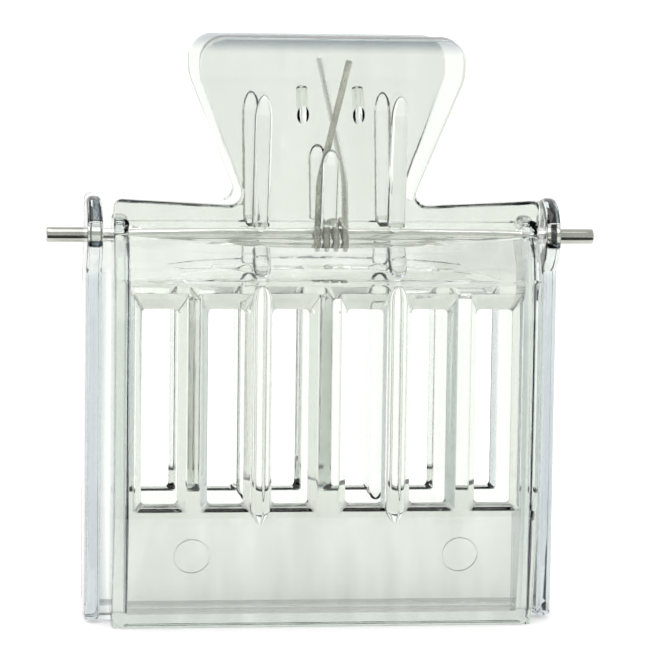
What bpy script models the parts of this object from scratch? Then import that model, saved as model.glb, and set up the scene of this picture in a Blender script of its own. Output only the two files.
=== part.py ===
"""Queen cage: a clear spring clip that closes over a queen bee on the comb.

Two moulded shells turn on one steel rod, and a torsion spring on the rod keeps their mouth shut.
Units are metres. X runs along the rod, -Y is the front, +Z is up, and the mouth rests on Z = 0.
A side outline is drawn as (out, up): out is the distance from the middle plane towards the
shell's own face, so both shells share the same numbers. Only the front shell has pegs.
"""
import math

import bmesh
import bpy
from mathutils import Matrix, Vector

# Shells
WALL = 0.0022
FRONT_HALF_WIDTH = 0.0299
BACK_HALF_WIDTH = 0.0335
MOUTH_OUT = 0.0070
PANEL_OUT = 0.0105
VALLEY_OUT = 0.0066
TAB_TOP_OUT = 0.0115
FOLD_UP = 0.0164
PANEL_TOP_UP = 0.0494
VALLEY_UP = 0.0554
TAB_TOP_UP = 0.0829
PANEL_BEND = 0.0032
VALLEY_BEND = 0.0024
LIP_THICK = 0.0020
PARTING_GAP = 0.0002
BOTTOM_CORNER = 0.0020

# Thumb tab and shoulders: lengths along the tab's slope are measured from the valley
SHOULDER_OUTER = 0.0052
SHOULDER_INNER = 0.0043
NECK_HALF_WIDTH = 0.0115
TAB_HALF_WIDTH = 0.0185
TAB_WIDEST = 0.0224
SHOULDER_CORNER = 0.0010
NECK_FILLET = 0.0016
TAB_SIDE_BEND = 0.0060
TAB_CORNER = 0.0034

# Side walls and ears
FRONT_EAR_RADIUS = 0.0032
BACK_EAR_RADIUS = 0.0055
BACK_WALL_REACH = BACK_EAR_RADIUS / 2
EAR_START = 60
EAR_END = 240
EAR_BLEND = 1.5

# Slots
SLOT_CENTRES = (0.0052, 0.01425, 0.0235)
SLOT_WIDTH = 0.0048
SLOT_BOTTOM_UP = 0.0178
SLOT_TOP_UP = 0.0456
SLOT_FLARE_SIDE = 0.0013
SLOT_FLARE_TOP = 0.0019
SLOT_FLARE_BOTTOM = 0.0008

# Ribs, fins and pegs
RIB_X = 0.0095
RIB_WIDTH = 0.0025
RIB_HEIGHT = 0.0013
RIB_RAMP = 0.0050
RIB_TOP_UP = 0.0750
RIB_FOOT_UP = 0.0565
LOWER_RIB_TOP_UP = 0.0537
LOWER_RIB_FOOT_UP = 0.0501
CENTRE_RIB_TOP_UP = 0.0675
FIN_WIDTH = 0.0028
FIN_HEIGHT = 0.0012
FIN_BOTTOM_UP = 0.0154
FIN_TOP_UP = 0.0486
PEG_X = 0.0039
PEG_RADIUS = 0.00085
PEG_LENGTH = 0.0050
PEG_ROOT_UP = 0.0709
PEG_RISE_ANGLE = math.radians(60)

# Rod and spring
PIN_UP = 0.0549
PIN_RADIUS = 0.0011
PIN_LENGTH = 0.0780
PIN_CHAMFER = 0.0002
BORE_CLEARANCE = 0.00008
WIRE_RADIUS = 0.000475
COIL_RADIUS = 0.00233
COIL_TURNS = 3.5
COIL_START_X = -0.0011
COIL_END_X = 0.0035
LEG_LEAN = math.radians(12.5)
LEG_BEND_UP = 0.0630
FRONT_LEG_TIP_X = 0.0024
BACK_LEG_TIP_X = 0.0001
LEG_TIP_UP = 0.0800

BEND_STEPS = 5
ROUND_STEPS = 32
COIL_STEPS = 24
CUT_OVERRUN = 0.0010
CUT_SLACK = 0.00005

FRONT = -1
BACK = 1
AXIS_POINT = Vector((0, 0, PIN_UP))


def clear_scene():
    for item in list(bpy.data.objects):
        bpy.data.objects.remove(item)


def new_collection(name):
    group = bpy.data.collections.new(name)
    bpy.context.scene.collection.children.link(group)
    return group


def make_material(name, colour, roughness, metallic=0.0, transmission=0.0):
    skin = bpy.data.materials.new(name)
    skin.use_nodes = True
    shader = skin.node_tree.nodes["Principled BSDF"]
    shader.inputs["Base Color"].default_value = (*colour, 1)
    shader.inputs["Roughness"].default_value = roughness
    shader.inputs["Metallic"].default_value = metallic
    shader.inputs["Transmission Weight"].default_value = transmission
    return skin


# ---------------------------------------------------------------- outlines

def offset_line(points, distance):
    """The same open line moved sideways by distance, to the left of its direction, with mitres."""
    moved = []
    for i, point in enumerate(points):
        sides = []
        if i > 0:
            sides.append((Vector(point) - Vector(points[i - 1])).normalized())
        if i < len(points) - 1:
            sides.append((Vector(points[i + 1]) - Vector(point)).normalized())
        normals = [Vector((-s.y, s.x)) for s in sides]
        middle = sum(normals, Vector((0, 0))).normalized()
        moved.append(Vector(point) + middle * distance / middle.dot(normals[0]))
    return moved


def round_corner(before, corner, after, radius):
    """Arc points that replace a corner."""
    corner = Vector(corner)
    back = (Vector(before) - corner).normalized()
    ahead = (Vector(after) - corner).normalized()
    half_angle = back.angle(ahead) / 2
    centre = corner + (back + ahead).normalized() * radius / math.sin(half_angle)
    run = radius / math.tan(half_angle)
    first = corner + back * run - centre
    last = corner + ahead * run - centre
    start = math.atan2(first.y, first.x)
    turn = (math.atan2(last.y, last.x) - start + math.pi) % (2 * math.pi) - math.pi
    angles = [start + turn * k / BEND_STEPS for k in range(BEND_STEPS + 1)]
    return [centre + radius * Vector((math.cos(a), math.sin(a))) for a in angles]


def round_line(points, radii, closed=False):
    """A line or a closed outline with an arc at every point whose radius isn't zero."""
    out = []
    for i, (point, radius) in enumerate(zip(points, radii)):
        at_end = not closed and i in (0, len(points) - 1)
        if radius == 0 or at_end:
            out.append(Vector(point))
        else:
            out += round_corner(points[i - 1], point, points[(i + 1) % len(points)], radius)
    return out


def arc(centre, radius, start, end, steps=ROUND_STEPS // 2):
    """Points on a circle between two angles in degrees."""
    angles = [math.radians(start + (end - start) * k / steps) for k in range(steps + 1)]
    return [Vector(centre) + radius * Vector((math.cos(a), math.sin(a))) for a in angles]


def shell_line():
    """The shell's outer face in side view, from the mouth up to above the tab."""
    slope = (TAB_TOP_OUT - VALLEY_OUT) / (TAB_TOP_UP - VALLEY_UP)
    above = TAB_TOP_UP + 2 * WALL
    return [
        (MOUTH_OUT, 0),
        (PANEL_OUT, FOLD_UP),
        (PANEL_OUT, PANEL_TOP_UP),
        (VALLEY_OUT, VALLEY_UP),
        (VALLEY_OUT + slope * (above - VALLEY_UP), above),
    ]


def tab_lean():
    """The tab's lean away from the vertical."""
    return math.atan2(TAB_TOP_OUT - VALLEY_OUT, TAB_TOP_UP - VALLEY_UP)


def out_at(line, up):
    """How far out a side line is at a height."""
    for (out_a, up_a), (out_b, up_b) in zip(line, line[1:]):
        if up_a <= up <= up_b:
            return out_a + (out_b - out_a) * (up - up_a) / (up_b - up_a)
    raise ValueError("height outside the line")


# ---------------------------------------------------------------- solids

def side_frame(x=0.0):
    """Local X, Y, Z become world Y, Z, X."""
    frame = Matrix(((0, 0, 1), (1, 0, 0), (0, 1, 0))).to_4x4()
    frame.translation = (x, 0, 0)
    return frame


def front_frame(y=0.0):
    """Local X and Y become world X and Z."""
    frame = Matrix(((1, 0, 0), (0, 0, -1), (0, 1, 0))).to_4x4()
    frame.translation = (0, y, 0)
    return frame


def tab_frame(side):
    """Local X is world X, and local Y runs up the tab's slope from the valley."""
    lean = side * tab_lean()
    frame = Matrix.Rotation(-lean, 4, "X") @ front_frame()
    frame.translation = (0, side * VALLEY_OUT, VALLEY_UP)
    return frame


def weld(mesh):
    """Joins a converted curve's loose caps to its sides and turns every face outwards."""
    work = bmesh.new()
    work.from_mesh(mesh)
    bmesh.ops.remove_doubles(work, verts=work.verts, dist=1e-7)
    bmesh.ops.recalc_face_normals(work, faces=work.faces)
    work.to_mesh(mesh)
    work.free()


def mesh_from_curve(name, curve, frame, group):
    """Turns a curve into a closed mesh object in world coordinates."""
    shape = bpy.data.objects.new(name + "_curve", curve)
    group.objects.link(shape)
    bpy.context.view_layer.update()
    depsgraph = bpy.context.evaluated_depsgraph_get()
    mesh = bpy.data.meshes.new_from_object(shape.evaluated_get(depsgraph))
    bpy.data.objects.remove(shape)
    mesh.transform(frame)
    weld(mesh)
    mesh.name = name
    solid = bpy.data.objects.new(name, mesh)
    group.objects.link(solid)
    return solid


def prism(name, outline, depth, frame, group):
    """A flat outline made depth thick, centred on its frame's plane."""
    curve = bpy.data.curves.new(name, "CURVE")
    curve.dimensions = "2D"
    curve.fill_mode = "BOTH"
    curve.extrude = depth / 2
    spline = curve.splines.new("POLY")
    spline.points.add(len(outline) - 1)
    for point, (across, up) in zip(spline.points, outline):
        point.co = (across, up, 0, 1)
    spline.use_cyclic_u = True
    return mesh_from_curve(name, curve, frame, group)


def side_prism(name, outline, side, x, depth, group):
    """A prism from an (out, up) outline, standing across X."""
    world = [(side * out, up) for out, up in outline]
    return prism(name, world, depth, side_frame(x), group)


def rod(name, radius, start, end, group, steps=ROUND_STEPS):
    """A round rod between two points."""
    mesh = bpy.data.meshes.new(name)
    work = bmesh.new()
    along = Vector(end) - Vector(start)
    bmesh.ops.create_cone(work, cap_ends=True, segments=steps, radius1=radius, radius2=radius,
                          depth=along.length)
    work.to_mesh(mesh)
    work.free()
    turn = along.to_track_quat("Z", "Y").to_matrix().to_4x4()
    middle = Matrix.Translation((Vector(start) + Vector(end)) / 2)
    mesh.transform(middle @ turn)
    solid = bpy.data.objects.new(name, mesh)
    group.objects.link(solid)
    return solid


def boolean(target, tool, operation):
    step = target.modifiers.new(tool.name, "BOOLEAN")
    step.operation = operation
    step.solver = "EXACT"
    step.object = tool
    tool.hide_render = True
    tool.display_type = "WIRE"


def put_origin(solid, point):
    """Moves the object's origin without moving its shape."""
    solid.data.transform(Matrix.Translation(-Vector(point)))
    solid.location = point


# ---------------------------------------------------------------- shells

def sheet_outline():
    """Side section of the bent sheet with the lip that closes its mouth."""
    outer = shell_line()
    inner = offset_line(outer, WALL)
    outer = round_line(outer, (0, PANEL_BEND, PANEL_BEND, VALLEY_BEND, 0))
    lip_top = Vector((out_at(inner, LIP_THICK), LIP_THICK))
    inner = round_line([lip_top] + inner[1:],
                       (0, PANEL_BEND - WALL, PANEL_BEND - WALL, VALLEY_BEND + WALL, 0))
    lip = [(PARTING_GAP, LIP_THICK), (PARTING_GAP, 0)]
    return lip[1:] + outer + inner[::-1] + lip[:1]


def wall_outline(mating_out, ear_radius):
    """Side wall: the middle of the sheet, the ear round the rod and the edge near the other shell."""
    middle = offset_line(shell_line(), WALL / 2)
    ear_top = PIN_UP + ear_radius * math.sin(math.radians(EAR_START))
    ear = arc((0, PIN_UP), ear_radius, EAR_START, EAR_END)
    under_ear = PIN_UP - EAR_BLEND * ear_radius
    return middle[:4] + [(out_at(middle, ear_top), ear_top)] + ear + [
        (mating_out, under_ear),
        (mating_out, CUT_SLACK),
    ]


def tab_outline(half_width):
    """Outline in the tab's plane: shoulders, neck and tab, and past the mouth at the bottom."""
    slope_length = math.hypot(TAB_TOP_OUT - VALLEY_OUT, TAB_TOP_UP - VALLEY_UP)
    right = [
        (half_width, -VALLEY_UP - 2 * PANEL_OUT),
        (half_width, SHOULDER_OUTER),
        (NECK_HALF_WIDTH, SHOULDER_INNER),
        (TAB_HALF_WIDTH, TAB_WIDEST),
        (TAB_HALF_WIDTH, slope_length),
    ]
    radii = [0, SHOULDER_CORNER, NECK_FILLET, TAB_SIDE_BEND, TAB_CORNER]
    left = [(-x, up) for x, up in reversed(right)]
    return round_line(right + left, radii + radii[::-1], closed=True)


def mouth_outline(half_width):
    """Front view outline that rounds the two corners of the mouth and cuts nothing else."""
    wide = half_width + CUT_SLACK
    high = TAB_TOP_UP + 2 * WALL
    points = [(wide, high), (-wide, high), (-wide, -CUT_SLACK), (wide, -CUT_SLACK)]
    return round_line(points, (0, 0, BOTTOM_CORNER, BOTTOM_CORNER), closed=True)


def slot_cutter(name, x, side, group):
    """Flared slot: narrow inside, wider at the panel's outer face."""
    mesh = bpy.data.meshes.new(name)
    work = bmesh.new()
    bmesh.ops.create_cube(work, size=1)
    for vert in work.verts:
        outside = vert.co.y > 0
        depth = 1 + CUT_OVERRUN / WALL if outside else -CUT_OVERRUN / WALL
        half = SLOT_WIDTH / 2 + SLOT_FLARE_SIDE * depth
        low = SLOT_BOTTOM_UP - SLOT_FLARE_BOTTOM * depth
        high = SLOT_TOP_UP + SLOT_FLARE_TOP * depth
        out = PANEL_OUT - WALL + WALL * depth
        vert.co = (x + math.copysign(half, vert.co.x), side * out, high if vert.co.z > 0 else low)
    if side == FRONT:
        bmesh.ops.reverse_faces(work, faces=work.faces)
    work.to_mesh(mesh)
    work.free()
    cutter = bpy.data.objects.new(name, mesh)
    group.objects.link(cutter)
    return cutter


def rib(name, side, x, foot_up, top_up, ramp, group):
    """A low rib that follows the sheet's outer face and fades into it at its top."""
    outer = shell_line()
    proud = offset_line(outer, -RIB_HEIGHT)
    root = offset_line(outer, WALL / 2)
    shoulder_up = top_up - ramp
    outline = [
        (out_at(root, foot_up), foot_up),
        (out_at(proud, foot_up), foot_up),
        (out_at(proud, shoulder_up), shoulder_up),
        (out_at(outer, top_up), top_up),
        (out_at(root, top_up), top_up),
    ]
    return side_prism(name, outline, side, x, RIB_WIDTH, group)


def fin(name, side, x, group):
    """A raised bar on the panel between two slots, round at the top and pointed at the bottom."""
    half = FIN_WIDTH / 2
    outline = arc((x, FIN_TOP_UP - half), half, 0, 180) + [
        Vector((x - half, FIN_BOTTOM_UP + FIN_WIDTH)),
        Vector((x, FIN_BOTTOM_UP)),
        Vector((x + half, FIN_BOTTOM_UP + FIN_WIDTH)),
    ]
    depth = FIN_HEIGHT + WALL / 2
    y = side * (PANEL_OUT + FIN_HEIGHT - depth / 2)
    return prism(name, outline, depth, front_frame(y), group)


def peg(name, side, x, group):
    """A short post inside the tab that keeps a spring leg from sliding sideways."""
    root = out_at(offset_line(shell_line(), WALL / 2), PEG_ROOT_UP)
    length = PEG_LENGTH + WALL / 2
    tip = root - length * math.cos(PEG_RISE_ANGLE)
    tip_up = PEG_ROOT_UP + length * math.sin(PEG_RISE_ANGLE)
    return rod(name, PEG_RADIUS, (x, side * root, PEG_ROOT_UP), (x, side * tip, tip_up), group, 16)


def add_ribs(shell, name, side, tools):
    """Three ribs on the tab and two short ones below the valley."""
    for label, sign in (("left", -1), ("right", 1)):
        upper = rib(f"{name}_{label}_rib", side, sign * RIB_X, RIB_FOOT_UP, RIB_TOP_UP,
                    RIB_RAMP, tools)
        boolean(shell, upper, "UNION")
        lower = rib(f"{name}_{label}_lower_rib", side, sign * RIB_X, LOWER_RIB_FOOT_UP,
                    LOWER_RIB_TOP_UP, RIB_HEIGHT, tools)
        boolean(shell, lower, "UNION")
    centre_rib = rib(f"{name}_centre_rib", side, 0, RIB_FOOT_UP, CENTRE_RIB_TOP_UP,
                     RIB_HEIGHT, tools)
    boolean(shell, centre_rib, "UNION")


def build_shell(name, side, half_width, mating_out, ear_radius, skin, parts, tools):
    """One moulded shell: bent sheet with lip, side walls, outline cuts, slots and fins."""
    full = 2 * (half_width + CUT_OVERRUN)
    shell = side_prism(name, sheet_outline(), side, 0, full, parts)
    shell.data.materials.append(skin)

    wall = wall_outline(mating_out, ear_radius)
    depth = WALL + CUT_OVERRUN
    for label, sign in (("left", -1), ("right", 1)):
        x = sign * (half_width - WALL + depth / 2)
        boolean(shell, side_prism(f"{name}_{label}_wall", wall, side, x, depth, tools), "UNION")

    outline = prism(f"{name}_tab_outline", tab_outline(half_width), 8 * PANEL_OUT,
                    tab_frame(side), tools)
    boolean(shell, outline, "INTERSECT")
    mouth = prism(f"{name}_mouth_outline", mouth_outline(half_width), 8 * PANEL_OUT,
                  front_frame(), tools)
    boolean(shell, mouth, "INTERSECT")

    for row, centre in enumerate(SLOT_CENTRES, start=1):
        for label, sign in (("left", -1), ("right", 1)):
            cutter = slot_cutter(f"{name}_{label}_slot_{row}", sign * centre, side, tools)
            boolean(shell, cutter, "DIFFERENCE")
    bore_end = half_width + CUT_OVERRUN
    bore = rod(f"{name}_bore", PIN_RADIUS + BORE_CLEARANCE, (-bore_end, 0, PIN_UP),
               (bore_end, 0, PIN_UP), tools)
    boolean(shell, bore, "DIFFERENCE")

    add_ribs(shell, name, side, tools)
    for label, sign in (("left", -1), ("right", 1)):
        boolean(shell, fin(f"{name}_{label}_fin", side, sign * RIB_X, tools), "UNION")
        if side == FRONT:
            boolean(shell, peg(f"{name}_{label}_peg", side, sign * PEG_X, tools), "UNION")
    return shell


# ---------------------------------------------------------------- metal parts

def build_pin(skin, parts):
    """The rod that is both the hinge and the hanger."""
    half = PIN_LENGTH / 2
    pin = rod("hinge_pin", PIN_RADIUS, (-half, 0, PIN_UP), (half, 0, PIN_UP), parts)
    put_origin(pin, AXIS_POINT)
    pin.data.materials.append(skin)
    chamfer = pin.modifiers.new("end_chamfer", "BEVEL")
    chamfer.width = PIN_CHAMFER
    chamfer.limit_method = "ANGLE"
    chamfer.angle_limit = math.radians(60)
    pin.data.shade_smooth()
    pin.data.set_sharp_from_angle(angle=math.radians(40))
    return pin


def leg_points(side, start_x, tip_x):
    """One spring leg from the coil up the tab: straight, then slanting across behind the pegs."""
    touch = Vector((COIL_RADIUS * math.cos(LEG_LEAN), PIN_UP - COIL_RADIUS * math.sin(LEG_LEAN)))
    lean = math.tan(LEG_LEAN)
    bend_out = touch.x + lean * (LEG_BEND_UP - touch.y)
    tip_out = touch.x + lean * (LEG_TIP_UP - touch.y)
    bend = Vector((start_x, side * bend_out, LEG_BEND_UP))
    tip = Vector((tip_x, side * tip_out, LEG_TIP_UP))
    return [bend, tip]


def spring_points():
    """Front leg tip, down to the coil, round it and up to the back leg tip."""
    front = leg_points(FRONT, COIL_START_X, FRONT_LEG_TIP_X)
    back = leg_points(BACK, COIL_END_X, BACK_LEG_TIP_X)
    first = math.pi + LEG_LEAN
    sweep = 2 * math.pi * COIL_TURNS - 2 * LEG_LEAN
    steps = round(COIL_STEPS * COIL_TURNS)
    coil = []
    for k in range(steps + 1):
        angle = first + sweep * k / steps
        x = COIL_START_X + (COIL_END_X - COIL_START_X) * k / steps
        coil.append(AXIS_POINT + Vector((x, COIL_RADIUS * math.cos(angle),
                                         COIL_RADIUS * math.sin(angle))))
    return front[::-1] + coil + back


def build_spring(skin, parts):
    """Torsion spring: one wire from leg tip to leg tip."""
    points = spring_points()
    curve = bpy.data.curves.new("torsion_spring", "CURVE")
    curve.dimensions = "3D"
    curve.bevel_depth = WIRE_RADIUS
    curve.bevel_resolution = 2
    curve.use_fill_caps = True
    spline = curve.splines.new("POLY")
    spline.points.add(len(points) - 1)
    for target, point in zip(spline.points, points):
        target.co = (*point, 1)
    spring = mesh_from_curve("torsion_spring", curve, Matrix.Identity(4), parts)
    spring.data.materials.append(skin)
    put_origin(spring, AXIS_POINT)
    spring.data.shade_smooth()
    spring.data.set_sharp_from_angle(angle=math.radians(50))
    return spring


def build():
    clear_scene()
    parts = new_collection("queen_cage")
    tools = new_collection("queen_cage_tools")
    clear_plastic = make_material("clear_plastic", (0.86, 0.90, 0.87), 0.05, transmission=1.0)
    steel = make_material("pin_steel", (0.60, 0.61, 0.56), 0.25, metallic=1.0)
    wire = make_material("spring_wire", (0.42, 0.43, 0.38), 0.32, metallic=1.0)

    front = build_shell("front_shell", FRONT, FRONT_HALF_WIDTH, PARTING_GAP,
                        FRONT_EAR_RADIUS, clear_plastic, parts, tools)
    put_origin(front, AXIS_POINT)
    build_shell("back_shell", BACK, BACK_HALF_WIDTH, -BACK_WALL_REACH,
                BACK_EAR_RADIUS, clear_plastic, parts, tools)
    build_pin(steel, parts)
    build_spring(wire, parts)


build()
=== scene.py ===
"""Looks of the queen cage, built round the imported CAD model. Units are metres.

X runs along the rod, -Y is the front, +Z is up. The clear shells are drawn again with rounded edges,
blended folds, beads, ribs and mould marks, and the rod and the spring are drawn again finer.
A side line is drawn as (out, up): out is the distance from the middle plane towards the shell's face.
"""
import math

import bmesh
import bpy
import numpy as np
from mathutils import Matrix, Vector


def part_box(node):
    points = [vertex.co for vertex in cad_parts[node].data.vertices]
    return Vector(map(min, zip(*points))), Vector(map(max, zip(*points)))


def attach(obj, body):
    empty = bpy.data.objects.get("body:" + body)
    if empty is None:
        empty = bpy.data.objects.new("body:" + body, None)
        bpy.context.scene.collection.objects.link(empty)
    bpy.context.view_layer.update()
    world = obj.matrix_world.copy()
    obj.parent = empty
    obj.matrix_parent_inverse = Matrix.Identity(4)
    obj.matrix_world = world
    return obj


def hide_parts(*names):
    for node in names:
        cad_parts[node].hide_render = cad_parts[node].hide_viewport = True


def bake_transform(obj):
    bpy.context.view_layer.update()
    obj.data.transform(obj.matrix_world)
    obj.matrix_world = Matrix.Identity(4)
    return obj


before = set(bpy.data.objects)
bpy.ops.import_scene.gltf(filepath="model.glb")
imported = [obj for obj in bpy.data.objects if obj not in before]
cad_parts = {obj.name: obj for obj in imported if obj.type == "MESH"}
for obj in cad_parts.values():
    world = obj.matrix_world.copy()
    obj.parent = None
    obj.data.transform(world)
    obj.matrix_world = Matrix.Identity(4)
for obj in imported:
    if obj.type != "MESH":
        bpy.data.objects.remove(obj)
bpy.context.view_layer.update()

FRONT = -1
BACK = 1

# Sheet of both shells, as in the CAD
WALL = 0.0022
SIDE_LINE = ((0.0070, 0), (0.0105, 0.0164), (0.0105, 0.0494), (0.0066, 0.0554), (0.0115, 0.0829))
LIP_THICK = 0.0020
PARTING_GAP = 0.0002
BOTTOM_CORNER = 0.0020
SHOULDER_OUTER = 0.0052
SHOULDER_INNER = 0.0043
NECK_HALF_WIDTH = 0.0115
TAB_HALF_WIDTH = 0.0185
TAB_WIDEST = 0.0224
SHOULDER_CORNER = 0.0010
NECK_FILLET = 0.0016
TAB_SIDE_BEND = 0.0060
TAB_CORNER = 0.0034
EDGE = 0.00028

# Bends: how far each bend zone reaches before and after its corner, and how far the blend itself runs
ZONE_BEFORE = (0.0, 0.0008, 0.0005, 0.0026, 0.0)
ZONE_AFTER = (0.0, 0.0004, 0.0028, 0.0018, 0.0)
FOLD_RUN = 0.00033
LENS_HALF_WIDTH = 0.0226
LENS_RUN = 0.0022
VALLEY_RUN_BELOW = 0.0019
VALLEY_RUN_ABOVE = 0.0013
LEAST_RUN = 0.00012
STRAIGHT_SHARE = 0.2
BEND_ROWS = 8
CRISPNESS = 0.4
LENS_STEP = 0.00026
COLUMN_STEP = 0.0030
NORMAL_STEP = 0.0002

# How much longer (+) or shorter (-) the inner face's blends are than the outer face's. At the fold and
# at the lens this is about the wall times the tangent of half the turn.
INNER_FOLD_CHANGE = -0.00023
INNER_LENS_CHANGE = -0.00065
INNER_VALLEY_CHANGE = 0.00030

# Slots
SLOT_CENTRES = (0.0052, 0.01425, 0.0235)
SLOT_WIDTH = 0.0048
SLOT_BOTTOM_UP = 0.0178
SLOT_TOP_UP = 0.0456
SLOT_FLARE_SIDE = 0.0013
SLOT_FLARE_TOP = 0.0019
SLOT_FLARE_BOTTOM = 0.0008
SLOT_CORNER = 0.0005
FLARE_REACH_SIDE = 0.0020
FLARE_REACH_TOP = 0.0021
FLARE_REACH_BOTTOM = 0.00095
FLARE_FADE = 0.0025

# Side walls
FRONT_EAR_RADIUS = 0.0032
BACK_EAR_RADIUS = 0.0055
EAR_START = 60
EAR_END = 240
EAR_BLEND = 1.5
WALL_INSET = 0.00003
WALL_EDGE = 0.0008
WALL_START_SHARE = 0.02
LIP_START_SHARE = 0.12
LIP_INSET = 0.0004
LIP_END_INSET = 0.0001
BORE_OVERRUN = 0.001

# Ribs, beads, pegs and mould marks
SINK = 0.0006
RIB_X = 0.0095
RIB_HALF_WIDTH = 0.00125
RIB_HEIGHT = 0.0013
BEAD_HALF_WIDTH = 0.0014
BEAD_HEIGHT = 0.0012
BEAD_BOTTOM_UP = 0.0154
BEAD_TOP_UP = 0.0486
RIB_TOP_UP = 0.0750
RIB_TIP = 0.0034
RIB_FOOT_GAP = 0.0001
CENTRE_RIB_FOOT_GAP = 0.0011
BLUNT_TIP = 0.0004
LOW_RIB_FOOT_UP = 0.0501
LOW_RIB_TOP_UP = 0.0537
CENTRE_RIB_TOP_UP = 0.0675
CENTRE_RIB_TIP = 0.0022
END_SIZE = 0.1
STRAIGHT_ROWS = 13
BEAD_TIP = 0.0022
PEG_X = 0.0039
PEG_RADIUS = 0.00085
PEG_LENGTH = 0.0050
PEG_ROOT_UP = 0.0709
PEG_RISE = math.radians(60)
PEG_STEPS = 24
MARK_X = 0.0189
MARK_UP = 0.0107
MARK_RADIUS = 0.0025
MARK_GROOVE = 0.00011
MARK_TURNS = 48
MARK_SIDES = 8

# Rod and spring
PIN_UP = 0.0549
PIN_RADIUS = 0.0011
PIN_END = ((0, 0.82), (0.00004, 0.90), (0.0001, 0.96), (0.00018, 1.0))
PIN_END_STRAIGHT = 0.001
PIN_RINGS = 40
PIN_STEPS = 48
BORE_CLEARANCE = 0.00008
WIRE_RADIUS = 0.000475
COIL_RADIUS = 0.00233
COIL_TURNS = 3.5
COIL_START_X = -0.0011
COIL_END_X = 0.0035
LEG_LEAN = math.radians(12.5)
LEG_BEND_UP = 0.0630
FRONT_LEG_TIP_X = 0.0024
BACK_LEG_TIP_X = 0.0001
LEG_TIP_UP = 0.0800
LEG_BEND_FOOT_SHARE = 0.15
LEG_BEND_TIP_SHARE = 0.07
WIRE_TIP_SHARE = 0.8
WIRE_STEPS = 16

# Plastic: two tints for each zone, mixed along the flow streaks, and the colour of its depth. The zones
# are the foot, the panel, the slope above it, the tab, the tab's rim and the two outer sides. It is one
# plastic: each zone's tints are its faint own colour with painted light and shade laid over it, and the
# slope, the tab's rim and the two outer sides are darker with painted shade.
FOOT_TINT_PAINTED_LIGHT = ((0.730, 0.755, 0.716), (0.834, 0.848, 0.816))
PANEL_TINT_PAINTED_LIGHT = ((0.755, 0.780, 0.735), (0.810, 0.829, 0.786))
SLOPE_TINT_PAINTED_SHADE = ((0.730, 0.754, 0.714), (0.796, 0.809, 0.776))
UPPER_TINT_PAINTED_LIGHT = ((0.807, 0.832, 0.789), (0.861, 0.874, 0.841))
# The tab's rim: a darker band of painted shade, standing in for the top edge seen through the plastic's
# thickness.
RIM_TINT_PAINTED_SHADE = ((0.49, 0.52, 0.53), (0.56, 0.585, 0.595))
# The two outer sides below the ears: darker with painted shade where the side walls are seen nearly edge-on.
SIDE_TINT_PAINTED_SHADE = ((0.52, 0.555, 0.56), (0.62, 0.645, 0.65))
SIDE_SHADE_FROM = 0.0302
# Height of the tab's rim, from which its painted shade starts.
RIM_SHADE_UP = 0.0816
LIGHT_ZONE_BLEND = 0.0008
# Painted highlight on the rod: its steel is paler between its two ends, standing in for the bright light it
# reflects.
PIN_SHEEN_HALF = 0.0335
PIN_PAINTED_SHEEN = (0.93, 0.93, 0.90)
# Painted highlight on the spring: the wire is paler along the back leg, standing in for the bright surround
# it reflects.
BACK_LEG_PAINTED_SHEEN = (0.92, 0.93, 0.90)
BACK_LEG_SHEEN_FROM = 0.0012
BACK_LEG_SHEEN_FULL = 0.0045
BACK_LEG_SHEEN_SHARE = 0.85
DEPTH_COLOUR = (0.78, 0.85, 0.89, 1)
DEPTH_DENSITY = 35
PLASTIC_IOR = 1.57
WAVE_HEIGHT = 0.000012
FLOW_HEIGHT = 0.000010
SCRATCH_HEIGHT = 0.0000010
STEEL_LINE_HEIGHT = 0.000006
STEEL_PATCH_HEIGHT = 0.00001
# Blend at the ends of the rod's painted highlight.
PIN_SHEEN_BLEND = 0.0005

# Shading: angles in degrees from which an edge stays sharp
SHELL_CREASE = 35
PIN_CREASE = 40
WIRE_CREASE = 50

# Studio
EXPOSURE = -0.03
PAPER_GLOW = 0.35
WORLD_FRONT = 0.70
WORLD_BACK = 0.9
KEY_POWER = 3.5
FILL_POWER = 1.0
KEY_PLACE = (-0.25, -0.35, 0.95)
KEY_SIZE = (0.9, 0.7)
FILL_PLACE = (0.8, -0.1, 0.55)
FILL_SIZE = (0.5, 0.7)
LIGHT_AIM = (0, 0, 0.04)
CARD_HALF_WIDTH = 0.25
CARD_NEAR = -0.42
CARD_FAR = -0.035
CARD_UP = 0.002
CARD_SHADE = 0.03
FLOOR_HALF_WIDTH = 1.6
FLOOR_BACK = 0.60
SWEEP_RADIUS = 0.35
BACKDROP_TOP = 1.8
LIGHT_BOUNCES = 32
CLEAR_BOUNCES = 16

# Camera
CAMERA_PLACE = Vector((-0.0569, -0.4649, 0.0901))
CAMERA_AIM = Vector((0.0002, 0, 0.0425))
CAMERA_ROLL = math.radians(0.75)
CAMERA_LENS = 185

AXIS_POINT = Vector((0, 0, PIN_UP))
ROUND_STEPS = 40
SLIVER = 0.000004


# ---------------------------------------------------------------- side line

def offset_line(points, distance):
    """The same open line moved sideways by distance, to the left of its direction, with mitres."""
    moved = []
    for i, point in enumerate(points):
        side_shade = []
        if i > 0:
            side_shade.append((Vector(point) - Vector(points[i - 1])).normalized())
        if i < len(points) - 1:
            side_shade.append((Vector(points[i + 1]) - Vector(point)).normalized())
        normals = [Vector((-s.y, s.x)) for s in side_shade]
        middle = sum(normals, Vector((0, 0))).normalized()
        moved.append(Vector(point) + middle * distance / middle.dot(normals[0]))
    return moved


OUTER_LINE = [Vector(p) for p in SIDE_LINE]
INNER_LINE = offset_line(SIDE_LINE, WALL)
LENGTHS = [0.0]
for before, after in zip(OUTER_LINE, OUTER_LINE[1:]):
    LENGTHS.append(LENGTHS[-1] + (after - before).length)
VALLEY_AT, TAB_TOP_AT = LENGTHS[3:]


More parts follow.
